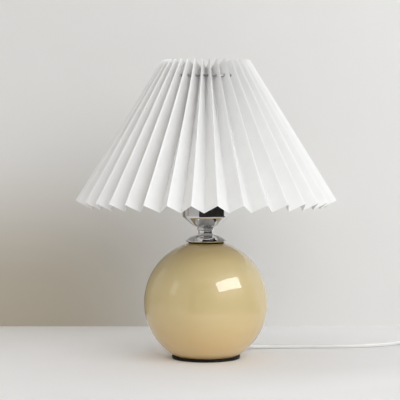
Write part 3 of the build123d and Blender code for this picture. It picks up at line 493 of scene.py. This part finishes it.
def pleated_sheet():
    """Closed mesh of the sheet, before the holes for the top ring."""
    columns = FOLDS * len(ACROSS)
    points = []
    painted_fold_lights = []
    for inset in (0, 1):
        for row in range(ROWS + 1):
            points += sheet_row(row / ROWS, inset)
            for fold in range(FOLDS):
                way = 1 if fold % 2 else -1
                # Painted fold light for each point: +1 at ridges for a painted highlight, -1 at
                # valleys for painted shade
                painted_fold_lights += [(way * math.cos(math.pi * share)) ** FOLD_LIGHT_SHARPNESS for share in ACROSS]
    faces = []
    top = ROWS * columns
    back = (ROWS + 1) * columns
    for column in range(columns):
        after = (column + 1) % columns
        for row in range(ROWS):
            low, high = row * columns, (row + 1) * columns
            front = (low + column, low + after, high + after, high + column)
            faces.append(front)
            faces.append(tuple(back + corner for corner in reversed(front)))
        faces.append((column, back + column, back + after, after))
        faces.append((top + after, back + top + after, back + top + column, top + column))
    mesh = bpy.data.meshes.new("pleated_sheet")
    mesh.from_pydata(points, [], faces)
    mesh.attributes.new("painted_fold_light", "FLOAT", "POINT").data.foreach_set("value", painted_fold_lights)
    mesh.materials.append(finishes["shade_white"])
    return mesh


def ring_cutter():
    """Torus a little thicker than the top ring's wire."""
    points = []
    faces = []
    for i in range(CUTTER_AROUND):
        turn = Matrix.Rotation(2 * math.pi * i / CUTTER_AROUND, 3, "Z")
        k = (i + 1) % CUTTER_AROUND
        for j in range(CUTTER_ABOUT):
            angle = 2 * math.pi * j / CUTTER_ABOUT
            away = RING_RADIUS + RING_HOLE * math.cos(angle)
            points.append(turn @ Vector((away, 0, RING_Z + RING_HOLE * math.sin(angle))))
            m = (j + 1) % CUTTER_ABOUT
            here, there = i * CUTTER_ABOUT, k * CUTTER_ABOUT
            faces.append((here + j, there + j, there + m, here + m))
    mesh = bpy.data.meshes.new("ring_cutter")
    mesh.from_pydata(points, [], faces)
    return mesh


sheet = bpy.data.objects.new("pleated_sheet", pleated_sheet())
scene.collection.objects.link(sheet)
cutter = bpy.data.objects.new("ring_cutter", ring_cutter())
scene.collection.objects.link(cutter)
holes = sheet.modifiers.new("holes", "BOOLEAN")
holes.object = cutter
holes.operation = "DIFFERENCE"
holes.solver = "EXACT"
bpy.context.view_layer.update()
depsgraph = bpy.context.evaluated_depsgraph_get()
punched = bpy.data.meshes.new_from_object(sheet.evaluated_get(depsgraph))
sheet.modifiers.clear()
sheet.data = punched
punched.name = "pleated_sheet_punched"
bpy.data.objects.remove(cutter)
for face in punched.polygons:
    face.use_smooth = True
punched.set_sharp_from_angle(angle=SHARP_ANGLE)
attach(sheet, "shade")
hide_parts("pleated_shade")


# Table and wall, with a painted shadow at the wall's lower left, and the wall see-through from
# behind

STAGE_REACH = 4
STAGE_MOTTLE = 0.985
WALL_Y = 0.288
WALL_FOOT = -0.2
WALL_TOP = 3
# Where the painted shadow on the wall fades in, and its colour
WALL_SHADOW_TOP, WALL_SHADOW_FOOT = 0.26, 0.02
WALL_SHADOW_RIGHT, WALL_SHADOW_LEFT = 0.06, -0.22
WALL_SHADOW_COLOR = (0.53, 0.48, 0.39)


def plane(name, corners, color, grain):
    """Flat stage surface with a faint mottle; returns the tree and the shader of its material."""
    mesh = bpy.data.meshes.new(name)
    mesh.from_pydata(corners, [], [(0, 1, 2, 3)])
    piece = bpy.data.objects.new(name, mesh)
    scene.collection.objects.link(piece)
    made, tree, shader = material(name)
    field = noise_field(tree, grain, detail=4.0)
    dark = tuple(STAGE_MOTTLE * c for c in color)
    feed(tree, shader, Base_Color=ramp(tree, field, dark, color))
    shader.inputs["Roughness"].default_value = 0.8
    mesh.materials.append(made)
    return tree, shader


plane(
    "table_top",
    [
        (-STAGE_REACH, -STAGE_REACH, 0), (STAGE_REACH, -STAGE_REACH, 0),
        (STAGE_REACH, STAGE_REACH, 0), (-STAGE_REACH, STAGE_REACH, 0),
    ],
    (0.92, 0.91, 0.91), 9.0,
)
wall_tree, wall_shader = plane(
    "wall",
    [
        (-STAGE_REACH, WALL_Y, WALL_FOOT), (STAGE_REACH, WALL_Y, WALL_FOOT),
        (STAGE_REACH, WALL_Y, WALL_TOP), (-STAGE_REACH, WALL_Y, WALL_TOP),
    ],
    (0.77, 0.765, 0.755), 6.0,
)
# Painted cast shadow of the lamp on the wall, towards the lower left
wall_shadow_share = add(wall_tree, "ShaderNodeMath", operation="MULTIPLY")
wall_tree.links.new(height_share(wall_tree, WALL_SHADOW_TOP, WALL_SHADOW_FOOT), wall_shadow_share.inputs[0])
wall_tree.links.new(height_share(wall_tree, WALL_SHADOW_RIGHT, WALL_SHADOW_LEFT, axis="X"), wall_shadow_share.inputs[1])
wall_tone = wall_shader.inputs["Base Color"].links[0].from_socket
feed(
    wall_tree, wall_shader,
    Base_Color=blend_colors(wall_tree, wall_shadow_share.outputs["Value"], wall_tone, WALL_SHADOW_COLOR),
)
behind = add(wall_tree, "ShaderNodeNewGeometry").outputs["Backfacing"]
clear = add(wall_tree, "ShaderNodeBsdfTransparent")
pick = add(wall_tree, "ShaderNodeMixShader")
wall_tree.links.new(behind, pick.inputs[0])
wall_tree.links.new(wall_shader.outputs["BSDF"], pick.inputs[1])
wall_tree.links.new(clear.outputs["BSDF"], pick.inputs[2])
feed(wall_tree, wall_tree.nodes["Material Output"], Surface=pick.outputs["Shader"])


# Light: a window at the right and two panes to mirror, soft light from high left and the front

GLOBE_MIDDLE = (0, 0, 0.09)
LAMP_MIDDLE = (0, 0, 0.15)
SHADE_MIDDLE = (0, 0, 0.25)
WHITE = (1.0, 1.0, 1.0)


def area(name, place, target, width, height, power, color, lights=True, mirrored=True):
    """Area light aimed at a point; it may only light things, or only show in reflections."""
    data = bpy.data.lights.new(name, "AREA")
    data.shape = "RECTANGLE"
    data.size = width
    data.size_y = height
    data.energy = power
    data.color = color
    lamp = bpy.data.objects.new(name, data)
    lamp.location = place
    lamp.rotation_mode = "QUATERNION"
    lamp.rotation_quaternion = (Vector(target) - Vector(place)).to_track_quat("-Z", "Y")
    lamp.visible_diffuse = lights
    lamp.visible_glossy = mirrored
    scene.collection.objects.link(lamp)


area(
    "window", (1.04, -0.90, 0.68), GLOBE_MIDDLE, 1.40, 0.50, 8.0, (0.93, 0.97, 1.0),
    mirrored=False,
)
area(
    "window_pane", (0.99, -0.83, 0.94), GLOBE_MIDDLE, 1.32, 0.50, 17.0, WHITE,
    lights=False,
)
area(
    "far_pane", (-1.28, -0.57, 0.72), GLOBE_MIDDLE, 0.34, 0.55, 0.7, (0.97, 1.0, 0.97),
    lights=False,
)
area(
    "high_left", (-1.20, -0.15, 1.80), SHADE_MIDDLE, 1.2, 1.2, 5.5, (1.0, 0.99, 0.97),
    mirrored=False,
)
area(
    "fill", (0.40, -1.91, 1.00), LAMP_MIDDLE, 1.2, 0.9, 11.0, WHITE,
    mirrored=False,
)

world = bpy.data.worlds.new("room")
scene.world = world
world.use_nodes = True
background = world.node_tree.nodes["Background"]
background.inputs["Color"].default_value = (1.0, 0.975, 0.94, 1)
background.inputs["Strength"].default_value = 0.46


# Dark screens, seen only in reflections, for the room that the bright neck mirrors

SCREEN_STEPS = 24
SCREEN_FLOOR = 0.002
SCREEN_DARK, SCREEN_LIGHT = 0.7, 1.3


def screen(name, near, reach, start, end, height, tone):
    """Floor and upright wall round the lamp, from one bearing to another, in one dark tone."""
    corners = []
    for step in range(SCREEN_STEPS + 1):
        turn = math.radians(start + (end - start) * step / SCREEN_STEPS)
        for away, z in ((near, SCREEN_FLOOR), (reach, SCREEN_FLOOR), (reach, height)):
            corners.append((away * math.sin(turn), -away * math.cos(turn), z))
    faces = [(k, k + 3, k + 4, k + 1) for k in range(3 * SCREEN_STEPS) if k % 3 != 2]
    mesh = bpy.data.meshes.new(name)
    mesh.from_pydata(corners, [], faces)
    made, tree, shader = material(name)
    field = noise_field(tree, 5.0)
    dark, light = (tuple(part * c for c in tone) for part in (SCREEN_DARK, SCREEN_LIGHT))
    feed(tree, shader, Base_Color=ramp(tree, field, dark, light))
    mesh.materials.append(made)
    piece = bpy.data.objects.new(name, mesh)
    piece.visible_camera = False
    piece.visible_diffuse = False
    piece.visible_shadow = False
    scene.collection.objects.link(piece)


screen("dark_room", 0.27, 1.90, -34, 112, 1.6, (0.015, 0.0135, 0.012))
screen("dark_side", 0.28, 0.31, -160, -118, 0.30, (0.30, 0.28, 0.24))


# Camera at the photograph's place

EYE = Vector((0.0, -1.836, 0.2686))
FOCAL_PX = 1598.0
AXIS_PX = 206.0
HORIZON_PX = 125.0
FRAME_PX = 400.0
SENSOR = 36.0

camera_data = bpy.data.cameras.new("camera")
camera_data.sensor_width = SENSOR
camera_data.lens = SENSOR * FOCAL_PX / FRAME_PX
camera = bpy.data.objects.new("camera", camera_data)
camera.location = EYE
aim = Vector((
    (FRAME_PX / 2 - AXIS_PX) / FOCAL_PX, 1.0, (HORIZON_PX - FRAME_PX / 2) / FOCAL_PX
))
camera.rotation_mode = "QUATERNION"
camera.rotation_quaternion = aim.to_track_quat("-Z", "Y")
scene.collection.objects.link(camera)
scene.camera = camera
